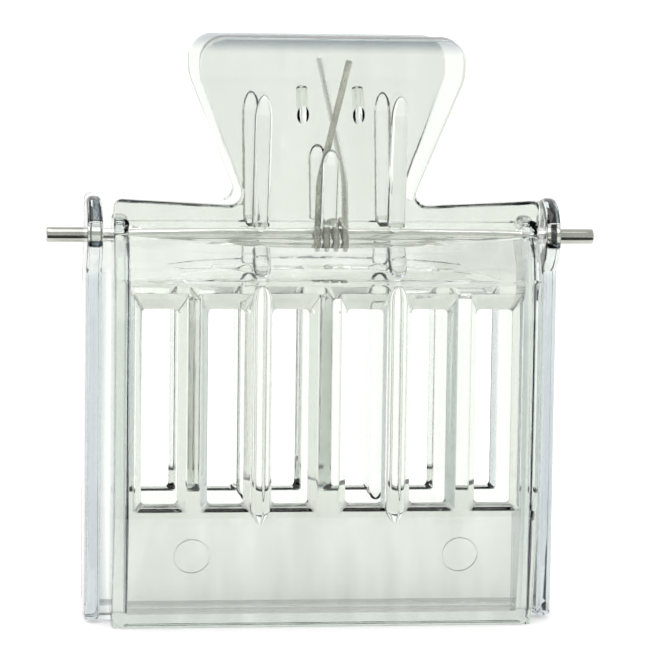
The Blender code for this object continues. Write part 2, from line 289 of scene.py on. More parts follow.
def length_at(up):
    """Unfolded length from the mouth to a height on the outer face."""
    for i in range(len(OUTER_LINE) - 1):
        low = OUTER_LINE[i].y
        high = OUTER_LINE[i + 1].y
        if low <= up <= high:
            return LENGTHS[i] + (LENGTHS[i + 1] - LENGTHS[i]) * (up - low) / (high - low)
    raise ValueError("height outside the side line")


def bulge(x, half_width):
    """One in the middle, nothing at half_width and beyond."""
    return max(0.0, 1 - (x / half_width) ** 2)


def lens_width(corner, half_width):
    """Half the length of the lens-shaped blend along a corner."""
    return LENS_HALF_WIDTH if corner == 2 else half_width


def bend_runs(corner, x, half_width, inner):
    """How far the blend at a corner runs before and after it, on the outer or the inner face."""
    if corner == 1:
        before = after = FOLD_RUN
        change = INNER_FOLD_CHANGE
    elif corner == 2:
        before = LEAST_RUN
        after = LEAST_RUN + LENS_RUN * math.sqrt(bulge(x, LENS_HALF_WIDTH))
        change = INNER_LENS_CHANGE
    else:
        before = LEAST_RUN + VALLEY_RUN_BELOW * bulge(x, half_width)
        after = VALLEY_RUN_ABOVE
        change = INNER_VALLEY_CHANGE
    if inner:
        return max(before + change, LEAST_RUN), max(after + change, LEAST_RUN)
    return before, after


def on_line(line, s, x, half_width, inner):
    """Point of a side line, with its corners blended, at an unfolded length."""
    for i in (1, 2, 3):
        zone_start = LENGTHS[i] - ZONE_BEFORE[i]
        zone_end = LENGTHS[i] + ZONE_AFTER[i]
        if not zone_start < s < zone_end:
            continue
        share = (s - zone_start) / (zone_end - zone_start)
        corner = line[i]
        down = (line[i - 1] - corner).normalized()
        upwards = (line[i + 1] - corner).normalized()
        before, after = bend_runs(i, x, half_width, inner)
        first = corner + down * before
        last = corner + upwards * after
        if share < STRAIGHT_SHARE:
            return (corner + down * ZONE_BEFORE[i]).lerp(first, share / STRAIGHT_SHARE)
        if share > 1 - STRAIGHT_SHARE:
            rest = (share - 1 + STRAIGHT_SHARE) / STRAIGHT_SHARE
            return last.lerp(corner + upwards * ZONE_AFTER[i], rest)
        q = (share - STRAIGHT_SHARE) / (1 - 2 * STRAIGHT_SHARE)
        smooth_point = first * (1 - q) ** 2 + corner * 2 * q * (1 - q) + last * q ** 2
        point = smooth_point.lerp(first.lerp(last, q), CRISPNESS)
        if inner or i == 1:
            return point
        chord = last - first
        outward = Vector((chord.y, -chord.x)).normalized()
        rise = LENS_STEP * min(1, BEND_ROWS * min(q, 1 - q)) * min(1, bulge(x, lens_width(i, half_width)) * 4)
        return point + outward * rise
    i = max(k for k in range(len(LENGTHS) - 1) if k == 0 or LENGTHS[k] <= s)
    direction = (line[i + 1] - line[i]).normalized()
    start = line[i] + direction * ZONE_AFTER[i]
    end = line[i + 1] - direction * ZONE_BEFORE[i + 1]
    run = LENGTHS[i + 1] - LENGTHS[i] - ZONE_AFTER[i] - ZONE_BEFORE[i + 1]
    return start.lerp(end, (s - LENGTHS[i] - ZONE_AFTER[i]) / run)


def surface(s, x, half_width):
    """Point and outward direction of the outer face, as (out, up)."""
    below = on_line(OUTER_LINE, s - NORMAL_STEP, x, half_width, False)
    above = on_line(OUTER_LINE, s + NORMAL_STEP, x, half_width, False)
    along = (above - below).normalized()
    return on_line(OUTER_LINE, s, x, half_width, False), Vector((along.y, -along.x))


# ---------------------------------------------------------------- outlines

def round_corner(before, corner, after, radius, steps=8):
    """Arc points that replace a corner."""
    corner = Vector(corner)
    back = (Vector(before) - corner).normalized()
    ahead = (Vector(after) - corner).normalized()
    half_angle = back.angle(ahead) / 2
    centre = corner + (back + ahead).normalized() * radius / math.sin(half_angle)
    run = radius / math.tan(half_angle)
    first = corner + back * run - centre
    last = corner + ahead * run - centre
    start = math.atan2(first.y, first.x)
    turn = (math.atan2(last.y, last.x) - start + math.pi) % (2 * math.pi) - math.pi
    angles = [start + turn * k / steps for k in range(steps + 1)]
    return [centre + radius * Vector((math.cos(a), math.sin(a))) for a in angles]


def round_outline(points, radii):
    """A closed outline with an arc at every point whose radius isn't zero."""
    out = []
    for i, (point, radius) in enumerate(zip(points, radii)):
        if radius == 0:
            out.append(Vector(point))
        else:
            out += round_corner(points[i - 1], point, points[(i + 1) % len(points)], radius)
    return out


def arc(centre, radius, start, end, steps=20):
    """Points on a circle between two angles in degrees."""
    angles = [math.radians(start + (end - start) * k / steps) for k in range(steps + 1)]
    return [Vector(centre) + radius * Vector((math.cos(a), math.sin(a))) for a in angles]


def sheet_outline(half_width):
    """Outline of the unfolded shell, as (x, unfolded length): band, shoulders, neck and tab."""
    right = [
        (half_width, 0),
        (half_width, VALLEY_AT + SHOULDER_OUTER),
        (NECK_HALF_WIDTH, VALLEY_AT + SHOULDER_INNER),
        (TAB_HALF_WIDTH, VALLEY_AT + TAB_WIDEST),
        (TAB_HALF_WIDTH, TAB_TOP_AT),
    ]
    radii = [BOTTOM_CORNER, SHOULDER_CORNER, NECK_FILLET, TAB_SIDE_BEND, TAB_CORNER]
    left = [(-x, s) for x, s in reversed(right)]
    return round_outline(right + left, radii + radii[::-1])


def slot_outline(centre):
    """A slot at the inner face, as (x, unfolded length)."""
    half = SLOT_WIDTH / 2
    low = length_at(SLOT_BOTTOM_UP)
    high = length_at(SLOT_TOP_UP)
    points = [(centre - half, low), (centre - half, high), (centre + half, high), (centre + half, low)]
    return round_outline(points, [SLOT_CORNER] * 4)


def wall_outline(mating_out, ear_radius):
    """Side wall: the middle of the sheet, the ear round the rod and the edge near the other shell."""
    middle = offset_line(SIDE_LINE, WALL / 2)
    ear_top = PIN_UP + ear_radius * math.sin(math.radians(EAR_START))
    share = (ear_top - middle[3].y) / (middle[4].y - middle[3].y)
    ear = arc((0, PIN_UP), ear_radius, EAR_START, EAR_END)
    start = middle[0].lerp(middle[1], WALL_START_SHARE)
    return [start] + middle[1:4] + [middle[3].lerp(middle[4], share)] + ear + [
        Vector((mating_out, PIN_UP - EAR_BLEND * ear_radius)),
        Vector((mating_out, start.y)),
    ]


# ---------------------------------------------------------------- mesh tools

def new_object(name, mesh):
    solid = bpy.data.objects.new(name, mesh)
    bpy.context.scene.collection.objects.link(solid)
    return solid


def evaluated_mesh(solid):
    bpy.context.view_layer.update()
    depsgraph = bpy.context.evaluated_depsgraph_get()
    return bpy.data.meshes.new_from_object(solid.evaluated_get(depsgraph))


def finish_mesh(work, mesh):
    """Turns every face of a closed mesh outwards and writes it."""
    bmesh.ops.recalc_face_normals(work, faces=work.faces)
    if work.calc_volume(signed=True) < 0:
        bmesh.ops.reverse_faces(work, faces=work.faces)
    work.to_mesh(mesh)
    work.free()


def weld(mesh):
    work = bmesh.new()
    work.from_mesh(mesh)
    bmesh.ops.remove_doubles(work, verts=work.verts, dist=1e-7)
    finish_mesh(work, mesh)


def plate_mesh(name, outlines, depth, edge):
    """Flat plate with rounded edges: the first outline is its rim and the others are holes."""
    curve = bpy.data.curves.new(name, "CURVE")
    curve.dimensions = "2D"
    curve.fill_mode = "BOTH"
    curve.extrude = depth / 2 - edge
    curve.bevel_depth = edge
    curve.bevel_resolution = 2
    curve.offset = -edge
    for outline in outlines:
        spline = curve.splines.new("POLY")
        spline.points.add(len(outline) - 1)
        for target, (across, up) in zip(spline.points, outline):
            target.co = (across, up, 0, 1)
        spline.use_cyclic_u = True
    shape = new_object(name, curve)
    mesh = evaluated_mesh(shape)
    bpy.data.objects.remove(shape)
    weld(mesh)
    return mesh


def side_plate(name, outline, side, x, depth, edge):
    """A plate that stands across X, from an (out, up) outline."""
    mesh = plate_mesh(name, [[(side * p[0], p[1]) for p in outline]], depth, edge)
    turn = Matrix(((0, 0, 1), (1, 0, 0), (0, 1, 0))).to_4x4()
    turn.translation = (x, 0, 0)
    mesh.transform(turn)
    return new_object(name, mesh)


def loft(name, rings):
    """Closed mesh through rings of equal length, capped at both ends."""
    mesh = bpy.data.meshes.new(name)
    work = bmesh.new()
    loops = [[work.verts.new(point) for point in ring] for ring in rings]
    count = len(rings[0])
    for low, high in zip(loops, loops[1:]):
        for k in range(count):
            work.faces.new((low[k], low[(k + 1) % count], high[(k + 1) % count], high[k]))
    work.faces.new(loops[0][::-1])
    work.faces.new(loops[-1])
    finish_mesh(work, mesh)
    return new_object(name, mesh)


def tube(name, points, radii, steps):
    """Round loft along a path: one radius for each point."""
    rings = []
    normal = None
    for i, point in enumerate(points):
        ahead = points[min(i + 1, len(points) - 1)] - points[max(i - 1, 0)]
        along = ahead.normalized()
        if normal is None:
            normal = along.orthogonal()
        normal = (normal - along * normal.dot(along)).normalized()
        other = along.cross(normal)
        angles = [2 * math.pi * k / steps for k in range(steps)]
        rings.append([point + radii[i] * (normal * math.cos(a) + other * math.sin(a)) for a in angles])
    return loft(name, rings)


def with_boolean(target, tools, operation):
    """Applies one exact Boolean with several tools, which are then removed."""
    group = bpy.data.collections.new("tools")
    bpy.context.scene.collection.children.link(group)
    for tool in tools:
        bpy.context.scene.collection.objects.unlink(tool)
        group.objects.link(tool)
    step = target.modifiers.new("combine", "BOOLEAN")
    step.operation = operation
    step.solver = "EXACT"
    step.operand_type = "COLLECTION"
    step.collection = group
    mesh = evaluated_mesh(target)
    target.modifiers.clear()
    target.data = mesh
    work = bmesh.new()
    work.from_mesh(mesh)
    bmesh.ops.remove_doubles(work, verts=work.verts, dist=SLIVER)
    bmesh.ops.dissolve_degenerate(work, edges=work.edges, dist=SLIVER)
    finish_mesh(work, mesh)
    for tool in tools:
        bpy.data.objects.remove(tool)
    bpy.data.collections.remove(group)


# ---------------------------------------------------------------- shells

def flare_rows():
    """Unfolded lengths where the slots' vertical flare changes its slope."""
    low = length_at(SLOT_BOTTOM_UP)
    high = length_at(SLOT_TOP_UP)
    return [low - FLARE_REACH_BOTTOM, low, high, high + FLARE_REACH_TOP]


def fade_rows():
    """Unfolded lengths where the slots' sideways flare starts and stops fading."""
    low = length_at(SLOT_BOTTOM_UP)
    high = length_at(SLOT_TOP_UP)
    return [low - 2 * FLARE_FADE, low - FLARE_FADE, high + FLARE_FADE, high + 2 * FLARE_FADE]


def cut_lines(work, half_width):
    """Adds the rows and columns of vertices that the bends and the flares need."""
    rows = flare_rows() + fade_rows()
    for corner in (1, 2, 3):
        start = LENGTHS[corner] - ZONE_BEFORE[corner]
        zone = ZONE_BEFORE[corner] + ZONE_AFTER[corner]
        shares = [STRAIGHT_SHARE + (1 - 2 * STRAIGHT_SHARE) * k / BEND_ROWS for k in range(BEND_ROWS + 1)]
        rows += [start + zone * share for share in [0, *shares, 1]]
    columns = list(np.arange(-half_width + COLUMN_STEP, half_width - COLUMN_STEP / 2, COLUMN_STEP))
    for centre in SLOT_CENTRES:
        for reach in (SLOT_WIDTH / 2, SLOT_WIDTH / 2 + FLARE_REACH_SIDE):
            columns += [sign * (centre + way * reach) for sign in (-1, 1) for way in (-1, 1)]
    planes = [((0, s, 0), (0, 1, 0)) for s in rows] + [((x, 0, 0), (1, 0, 0)) for x in columns]
    for point, normal in planes:
        everything = work.verts[:] + work.edges[:] + work.faces[:]
        bmesh.ops.bisect_plane(work, geom=everything, plane_co=point, plane_no=normal, dist=1e-5)


def flare(x, s, depth_share):
    """Widens the slots from the inner face to the outer face by sliding points within the panel."""
    middle = math.copysign(min(SLOT_CENTRES, key=lambda centre: abs(abs(x) - centre)), x)
    half = SLOT_WIDTH / 2
    reach = half + FLARE_REACH_SIDE
    shift = np.interp(x - middle, (-reach, -half, half, reach), (0, -SLOT_FLARE_SIDE, SLOT_FLARE_SIDE, 0))
    lift = np.interp(s, flare_rows(), (0, -SLOT_FLARE_BOTTOM, SLOT_FLARE_TOP, 0))
    fade = np.interp(s, fade_rows(), (0, 1, 1, 0))
    return x + shift * fade * depth_share, s + lift * depth_share


def sheet(name, side, half_width):
    """The bent sheet with its slots and its tab."""
    outlines = [sheet_outline(half_width)]
    outlines += [slot_outline(sign * centre) for centre in SLOT_CENTRES for sign in (-1, 1)]
    mesh = plate_mesh(name, outlines, WALL, EDGE)
    work = bmesh.new()
    work.from_mesh(mesh)
    cut_lines(work, half_width)
    for vert in work.verts:
        depth_share = vert.co.z / WALL + 0.5
        x, s = flare(vert.co.x, vert.co.y, depth_share)
        outer = on_line(OUTER_LINE, s, x, half_width, False)
        inner = on_line(INNER_LINE, s, x, half_width, True)
        out, up = inner.lerp(outer, depth_share)
        vert.co = (x, side * out, up)
    finish_mesh(work, mesh)
    return new_object(name, mesh)


RIB_PROFILE = ((-1.0, 0.0), (-0.96, 0.4), (-0.88, 0.78), (-0.72, 0.95), (-0.45, 1.0), (0.45, 1.0),
               (0.72, 0.95), (0.88, 0.78), (0.96, 0.4), (1.0, 0.0))
BEAD_PROFILE = tuple((-math.cos(math.pi * k / 14), math.sin(math.pi * k / 14)) for k in range(15))


def bar(name, side, x, half_width, stations, profile):
    """A bar on the outer face: stations give unfolded length, half width and height."""
    rings = []
    for s, half, height in stations:
        point, normal = surface(s, x, half_width)
        ring = []
        for across, rise in [(-1.0, None), *profile, (1.0, None)]:
            out, up = point + normal * (-SINK if rise is None else rise * height)
            ring.append((x + across * half, side * out, up))
        rings.append(ring)
    return loft(name, rings)


def rounded_stations(low, high, half, height, low_tip, high_tip):
    """Stations whose ends narrow and sink along a quarter ellipse of the given length."""
    shares = [1.0, 0.97, 0.9, 0.78, 0.6, 0.4, 0.2]
    sizes = [max(math.sqrt(1 - share ** 2), END_SIZE) for share in shares]
    start = [(low + low_tip * (1 - share), half * size, height * size) for share, size in zip(shares, sizes)]
    end = [(high - high_tip * (1 - share), half * size, height * size) for share, size in zip(shares, sizes)]
    middle = [(s, half, height) for s in np.linspace(low + low_tip, high - high_tip, STRAIGHT_ROWS)]
    return start + middle + end[::-1]


def shell_bars(name, side, half_width):
    """Two slot beads, three ribs on the tab and two short ones below the valley."""
    upper = rounded_stations(VALLEY_AT + RIB_FOOT_GAP, length_at(RIB_TOP_UP), RIB_HALF_WIDTH,
                             RIB_HEIGHT, RIB_HALF_WIDTH, RIB_TIP)
    lower = rounded_stations(length_at(LOW_RIB_FOOT_UP), length_at(LOW_RIB_TOP_UP), RIB_HALF_WIDTH,
                             RIB_HEIGHT, RIB_HALF_WIDTH, BLUNT_TIP)
    bead = rounded_stations(length_at(BEAD_BOTTOM_UP), length_at(BEAD_TOP_UP), BEAD_HALF_WIDTH,
                            BEAD_HEIGHT, BEAD_TIP, BEAD_TIP)
    centre = rounded_stations(VALLEY_AT + CENTRE_RIB_FOOT_GAP, length_at(CENTRE_RIB_TOP_UP),
                              RIB_HALF_WIDTH, RIB_HEIGHT, BLUNT_TIP, CENTRE_RIB_TIP)
    places = (("left", -RIB_X), ("right", RIB_X))
    bars = [bar(f"{name}_{label}_bead", side, x, half_width, bead, BEAD_PROFILE) for label, x in places]
    bars.append(bar(f"{name}_centre_rib", side, 0, half_width, centre, RIB_PROFILE))
    for label, x in places:
        bars.append(bar(f"{name}_{label}_rib", side, x, half_width, upper, RIB_PROFILE))
        bars.append(bar(f"{name}_{label}_low_rib", side, x, half_width, lower, RIB_PROFILE))
    return bars


def peg(name, side, x):
    """A short round-tipped post inside the tab, beside the spring's leg."""
    middle = offset_line(SIDE_LINE, WALL / 2)
    share = (PEG_ROOT_UP - middle[3].y) / (middle[4].y - middle[3].y)
    root = middle[3].lerp(middle[4], share)
    start = Vector((x, side * root.x, root.y))
    along = Vector((0, -side * math.cos(PEG_RISE), math.sin(PEG_RISE)))
    length = PEG_LENGTH + WALL / 2
    reach = [0, length * 0.5, length - 0.0003, length - 0.0001, length]
    radii = [PEG_RADIUS, PEG_RADIUS * 0.97, PEG_RADIUS * 0.94, PEG_RADIUS * 0.85, PEG_RADIUS * 0.6]
    return tube(name, [start + along * r for r in reach], radii, PEG_STEPS)


def ring_groove(name, side, x, half_width):
    """Cutter for the round line that an ejector pin leaves in the outer face."""
    point, normal = surface(length_at(MARK_UP), x, half_width)
    centre = Vector((x, side * point.x, point.y))
    outward = Vector((0, side * normal.x, normal.y))
    mesh = bpy.data.meshes.new(name)
    work = bmesh.new()
    grid = []
    for i in range(MARK_TURNS):
        a = 2 * math.pi * i / MARK_TURNS
        spoke = Vector((math.cos(a), math.sin(a), 0))
        row = []
        for j in range(MARK_SIDES):
            b = 2 * math.pi * j / MARK_SIDES
            row.append(work.verts.new(spoke * (MARK_RADIUS + MARK_GROOVE * math.cos(b))
                                      + Vector((0, 0, MARK_GROOVE * math.sin(b)))))
        grid.append(row)
    for i in range(MARK_TURNS):
        row = grid[i]
        following = grid[(i + 1) % MARK_TURNS]
        for j in range(MARK_SIDES):
            k = (j + 1) % MARK_SIDES
            work.faces.new((row[j], following[j], following[k], row[k]))
    finish_mesh(work, mesh)
    turn = outward.to_track_quat("Z", "Y").to_matrix().to_4x4()
    mesh.transform(Matrix.Translation(centre) @ turn)
    return new_object(name, mesh)


def shell(name, side, half_width, mating_out, ear_radius):
    """One moulded shell: sheet, side walls, lip, bars and bores; in front also pegs and mould marks."""
    body = sheet(name, side, half_width)
    added = []
    wall = wall_outline(mating_out, ear_radius)
    for label, sign in (("left", -1), ("right", 1)):
        x = sign * (half_width - WALL_INSET - WALL / 2)
        added.append(side_plate(f"{name}_{label}_wall", wall, side, x, WALL, WALL_EDGE))
        if side == FRONT:
            added.append(peg(f"{name}_{label}_peg", side, sign * PEG_X))
    lip_in = INNER_LINE[0].lerp(INNER_LINE[1], LIP_START_SHARE)
    lip = [(PARTING_GAP, 0), (SIDE_LINE[0][0] - LIP_INSET, 0), (lip_in.x + WALL / 2, LIP_THICK),
           (PARTING_GAP, LIP_THICK)]
    added.append(side_plate(f"{name}_lip", lip, side, 0, 2 * (half_width - LIP_END_INSET), EDGE))
    added += shell_bars(name, side, half_width)
    with_boolean(body, added, "UNION")

    removed = []
    bore_end = half_width + BORE_OVERRUN
    bore_points = [Vector((x, 0, PIN_UP)) for x in (-bore_end, bore_end)]
    bore_radius = PIN_RADIUS + BORE_CLEARANCE
    removed.append(tube(f"{name}_bore", bore_points, [bore_radius] * 2, ROUND_STEPS))
    if side == FRONT:
        removed += [ring_groove(f"{name}_{label}_mark", side, sign * MARK_X, half_width)
                    for label, sign in (("left", -1), ("right", 1))]
    with_boolean(body, removed, "DIFFERENCE")
    return body


def smooth(solid, angle):
    """Smooth shading between sharp edges, with flat faces kept flat."""
    solid.data.shade_smooth()
    solid.data.set_sharp_from_angle(angle=math.radians(angle))
    flat = solid.modifiers.new("flat_faces", "WEIGHTED_NORMAL")
    flat.keep_sharp = True
    flat.weight = 80


# ---------------------------------------------------------------- rod and spring

def rod():
    """Drawn steel rod with slightly rounded, sheared ends."""
    low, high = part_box("hinge_pin")
    xs = [low.x + reach for reach, share in PIN_END]
    radii = [PIN_RADIUS * share for reach, share in PIN_END]
    middle = list(np.linspace(low.x + PIN_END_STRAIGHT, high.x - PIN_END_STRAIGHT, PIN_RINGS))
    points = [Vector((x, 0, PIN_UP)) for x in xs + middle + [low.x + high.x - x for x in reversed(xs)]]
    return tube("pin_rod", points, radii + [PIN_RADIUS] * PIN_RINGS + radii[::-1], PIN_STEPS)


def leg_points(side, start_x, tip_x):
    """One spring leg from the coil up the tab: straight, then slanting across behind the pegs."""
    touch = Vector((COIL_RADIUS * math.cos(LEG_LEAN), PIN_UP - COIL_RADIUS * math.sin(LEG_LEAN)))
    lean = math.tan(LEG_LEAN)
    bend_out = touch.x + lean * (LEG_BEND_UP - touch.y)
    tip_out = touch.x + lean * (LEG_TIP_UP - touch.y)
    bend = Vector((start_x, side * bend_out, LEG_BEND_UP))
    tip = Vector((tip_x, side * tip_out, LEG_TIP_UP))
    foot = Vector((start_x, side * touch.x, touch.y))
    corner = []
    for q in (0.0, 0.25, 0.5, 0.75, 1.0):
        first = bend.lerp(foot, LEG_BEND_FOOT_SHARE)
        last = bend.lerp(tip, LEG_BEND_TIP_SHARE)
        corner.append(first * (1 - q) ** 2 + bend * 2 * q * (1 - q) + last * q ** 2)
    return [foot.lerp(bend, 0.3), foot.lerp(bend, 0.6)] + corner + [
        bend.lerp(tip, share) for share in (0.3, 0.55, 0.8, 0.985, 1.0)]


def spring():
    """Torsion spring: one wire from leg tip to leg tip."""
    front = leg_points(FRONT, COIL_START_X, FRONT_LEG_TIP_X)
    back = leg_points(BACK, COIL_END_X, BACK_LEG_TIP_X)
    first = math.pi + LEG_LEAN
    sweep = 2 * math.pi * COIL_TURNS - 2 * LEG_LEAN
    steps = round(ROUND_STEPS * COIL_TURNS)
    coil = []
    for k in range(steps + 1):
        angle = first + sweep * k / steps
        x = COIL_START_X + (COIL_END_X - COIL_START_X) * k / steps
        coil.append(AXIS_POINT + Vector((x, COIL_RADIUS * math.cos(angle), COIL_RADIUS * math.sin(angle))))
    points = front[::-1] + coil + back
    radii = [WIRE_RADIUS] * len(points)
    radii[0] = radii[-1] = WIRE_RADIUS * WIRE_TIP_SHARE
    return tube("spring_wire", points, radii, WIRE_STEPS)


# ---------------------------------------------------------------- materials

def new_material(name):
    skin = bpy.data.materials.new(name)
    skin.use_nodes = True
    return skin, skin.node_tree, skin.node_tree.nodes["Principled BSDF"]


def noise(tree, scale, detail=3.0, stretch=(1, 1, 1)):
    """Noise in object space: scale is in cycles for each metre."""
    where = tree.nodes.new("ShaderNodeTexCoord")
    place = tree.nodes.new("ShaderNodeMapping")
    place.inputs["Scale"].default_value = stretch
    made = tree.nodes.new("ShaderNodeTexNoise")
    made.inputs["Scale"].default_value = scale
    made.inputs["Detail"].default_value = detail
    tree.links.new(where.outputs["Object"], place.inputs["Vector"])
    tree.links.new(place.outputs["Vector"], made.inputs["Vector"])
    return made.outputs["Fac"]


def spread(tree, value, low, high, start=0.3, end=0.7):
    """Maps a noise value to a range."""
    made = tree.nodes.new("ShaderNodeMapRange")
    made.inputs["From Min"].default_value = start
    made.inputs["From Max"].default_value = end
    made.inputs["To Min"].default_value = low
    made.inputs["To Max"].default_value = high
    tree.links.new(value, made.inputs["Value"])
    return made.outputs["Result"]


def colours(tree, value, low, high, start=0.3, end=0.7):
    """Maps a noise value to a mix of two colours."""
    made = tree.nodes.new("ShaderNodeMix")
    made.data_type = "RGBA"
    made.inputs["A"].default_value = (*low, 1)
    made.inputs["B"].default_value = (*high, 1)
    tree.links.new(spread(tree, value, 0, 1, start, end), made.inputs["Factor"])
    return made.outputs["Result"]


def bump(tree, value, height, normal=None):
    """Bump whose full height is in metres."""
    made = tree.nodes.new("ShaderNodeBump")
    made.inputs["Strength"].default_value = 1.0
    made.inputs["Distance"].default_value = height
    tree.links.new(value, made.inputs["Height"])
    if normal is not None:
        tree.links.new(normal, made.inputs["Normal"])
    return made.outputs["Normal"]


def axis_value(tree, axis):
    """One object-space coordinate."""
    where = tree.nodes.new("ShaderNodeTexCoord")
    parts = tree.nodes.new("ShaderNodeSeparateXYZ")
    tree.links.new(where.outputs["Object"], parts.inputs["Vector"])
    return parts.outputs[axis]


def product(tree, first, second):
    """Two values multiplied."""
    made = tree.nodes.new("ShaderNodeMath")
    made.operation = "MULTIPLY"
    tree.links.new(first, made.inputs[0])
    tree.links.new(second, made.inputs[1])
    return made.outputs["Value"]


def from_middle(tree, near, far, start, end):
    """Maps the distance from the middle plane X = 0: near before start, far beyond end."""
    distance = tree.nodes.new("ShaderNodeMath")
    distance.operation = "ABSOLUTE"
    tree.links.new(axis_value(tree, "X"), distance.inputs[0])
    return spread(tree, distance.outputs["Value"], near, far, start, end)


def height_band(tree, low, high, soft):
    """One between two heights and nothing outside them, with soft ends."""
    up = axis_value(tree, "Z")
    rise = spread(tree, up, 0, 1, low - soft, low + soft)
    fall = spread(tree, up, 1, 0, high - soft, high + soft)
    return product(tree, rise, fall)


def mixed(tree, factor, first, second):
    """The first colour where factor is zero and the second where it is one."""
    made = tree.nodes.new("ShaderNodeMix")
    made.data_type = "RGBA"
    tree.links.new(factor, made.inputs["Factor"])
    tree.links.new(first, made.inputs["A"])
    tree.links.new(second, made.inputs["B"])
    return made.outputs["Result"]


def make_plastic():
    """Clear moulded plastic: a tint with painted light and shade for each zone, flow streaks, waves,
    scratches, haze and depth.
    """
    skin, tree, shader = new_material("clear_plastic_look")
    shader.inputs["Transmission Weight"].default_value = 1.0
    shader.inputs["IOR"].default_value = PLASTIC_IOR
    streaks = noise(tree, 240, 2, (1, 1, 0.07))
    fold_up = SIDE_LINE[1][1]
    panel_top_up = SIDE_LINE[2][1]
    tint_and_light = colours(tree, streaks, *UPPER_TINT_PAINTED_LIGHT)
    # Each zone's tints lay painted light and shade over the plastic's own faint colour; the slope is darker
    # with painted shade.
    for low, high, zone_tint_and_light in ((-fold_up, fold_up, FOOT_TINT_PAINTED_LIGHT), (fold_up, panel_top_up, PANEL_TINT_PAINTED_LIGHT),
                             (panel_top_up, SIDE_LINE[3][1], SLOPE_TINT_PAINTED_SHADE), (RIM_SHADE_UP, 2 * RIM_SHADE_UP, RIM_TINT_PAINTED_SHADE)):
        zone = height_band(tree, low, high, LIGHT_ZONE_BLEND)
        tint_and_light = mixed(tree, zone, tint_and_light, colours(tree, streaks, *zone_tint_and_light))
    # Painted shade on the side walls below the ears.
    below_ears = height_band(tree, -fold_up, PIN_UP - BACK_EAR_RADIUS, LIGHT_ZONE_BLEND)
    at_sides = from_middle(tree, 0, 1, SIDE_SHADE_FROM - LIGHT_ZONE_BLEND / 2, SIDE_SHADE_FROM + LIGHT_ZONE_BLEND / 2)
    side_shade = product(tree, below_ears, at_sides)
    tint_and_light = mixed(tree, side_shade, tint_and_light, colours(tree, streaks, *SIDE_TINT_PAINTED_SHADE))
    tree.links.new(tint_and_light, shader.inputs["Base Color"])
    tree.links.new(spread(tree, noise(tree, 220, 6), 0.01, 0.05), shader.inputs["Roughness"])
    waves = bump(tree, noise(tree, 130, 2, (1, 1, 0.35)), WAVE_HEIGHT)
    flow = bump(tree, streaks, FLOW_HEIGHT, waves)
    scratches = bump(tree, noise(tree, 900, 8, (6, 6, 0.4)), SCRATCH_HEIGHT, flow)
    tree.links.new(scratches, shader.inputs["Normal"])
    depth = tree.nodes.new("ShaderNodeVolumeAbsorption")
    depth.inputs["Color"].default_value = DEPTH_COLOUR
    depth.inputs["Density"].default_value = DEPTH_DENSITY
    tree.links.new(depth.outputs["Volume"], tree.nodes["Material Output"].inputs["Volume"])
    return skin


def drawn_steel(name, light, dark, roughness, stretch):
    """Drawn steel: lengthwise die lines, dull patches and a bump from both."""
    skin, tree, shader = new_material(name)
    shader.inputs["Metallic"].default_value = 1.0
    lines = noise(tree, 1400, 5, stretch)
    patches = noise(tree, 260, 4)
    tree.links.new(colours(tree, patches, dark, light), shader.inputs["Base Color"])
    tree.links.new(spread(tree, lines, roughness[0], roughness[1]), shader.inputs["Roughness"])
    marks = bump(tree, lines, STEEL_LINE_HEIGHT)
    tree.links.new(bump(tree, patches, STEEL_PATCH_HEIGHT, marks), shader.inputs["Normal"])
    return skin


def tint_steel(skin, share, colour):
    """Moves a steel's colour towards another one where share is one."""
    tree = skin.node_tree
    base = tree.nodes["Principled BSDF"].inputs["Base Color"]
    made = tree.nodes.new("ShaderNodeMix")
    made.data_type = "RGBA"
    made.inputs["B"].default_value = (*colour, 1)
    tree.links.new(share, made.inputs["Factor"])
    tree.links.new(base.links[0].from_socket, made.inputs["A"])
    tree.links.new(made.outputs["Result"], base)


def make_pin_steel():
    """Drawn rod, with a painted highlight that makes the steel paler between its two ends, which keep the
    plain drawn steel.
    """
    skin = drawn_steel("pin_steel_look", (0.53, 0.54, 0.49), (0.42, 0.43, 0.38), (0.08, 0.22), (0.03, 1, 1))
    tree = skin.node_tree
    sheen_zone = from_middle(tree, 1, 0, PIN_SHEEN_HALF - PIN_SHEEN_BLEND, PIN_SHEEN_HALF + PIN_SHEEN_BLEND)
    tint_steel(skin, sheen_zone, PIN_PAINTED_SHEEN)
    return skin


def make_spring_steel():
    """Drawn spring wire, with a painted highlight that makes it paler on the back side, along the back leg.
    """
    skin = drawn_steel("spring_wire_look", (0.60, 0.60, 0.54), (0.40, 0.41, 0.36), (0.2, 0.42), (1, 1, 1))
    tree = skin.node_tree
    back_leg_sheen = spread(tree, axis_value(tree, "Y"), 0, BACK_LEG_SHEEN_SHARE, BACK_LEG_SHEEN_FROM, BACK_LEG_SHEEN_FULL)
    tint_steel(skin, back_leg_sheen, BACK_LEG_PAINTED_SHEEN)
    return skin


def white_paper(name, glow):
    skin, tree, shader = new_material(name)
    tree.links.new(colours(tree, noise(tree, 9, 2), (0.90, 0.90, 0.89), (0.93, 0.93, 0.93)),
                   shader.inputs["Base Color"])
    shader.inputs["Roughness"].default_value = 0.85
    shader.inputs["Emission Color"].default_value = (1, 1, 1, 1)
    shader.inputs["Emission Strength"].default_value = glow
    return skin


# ---------------------------------------------------------------- studio

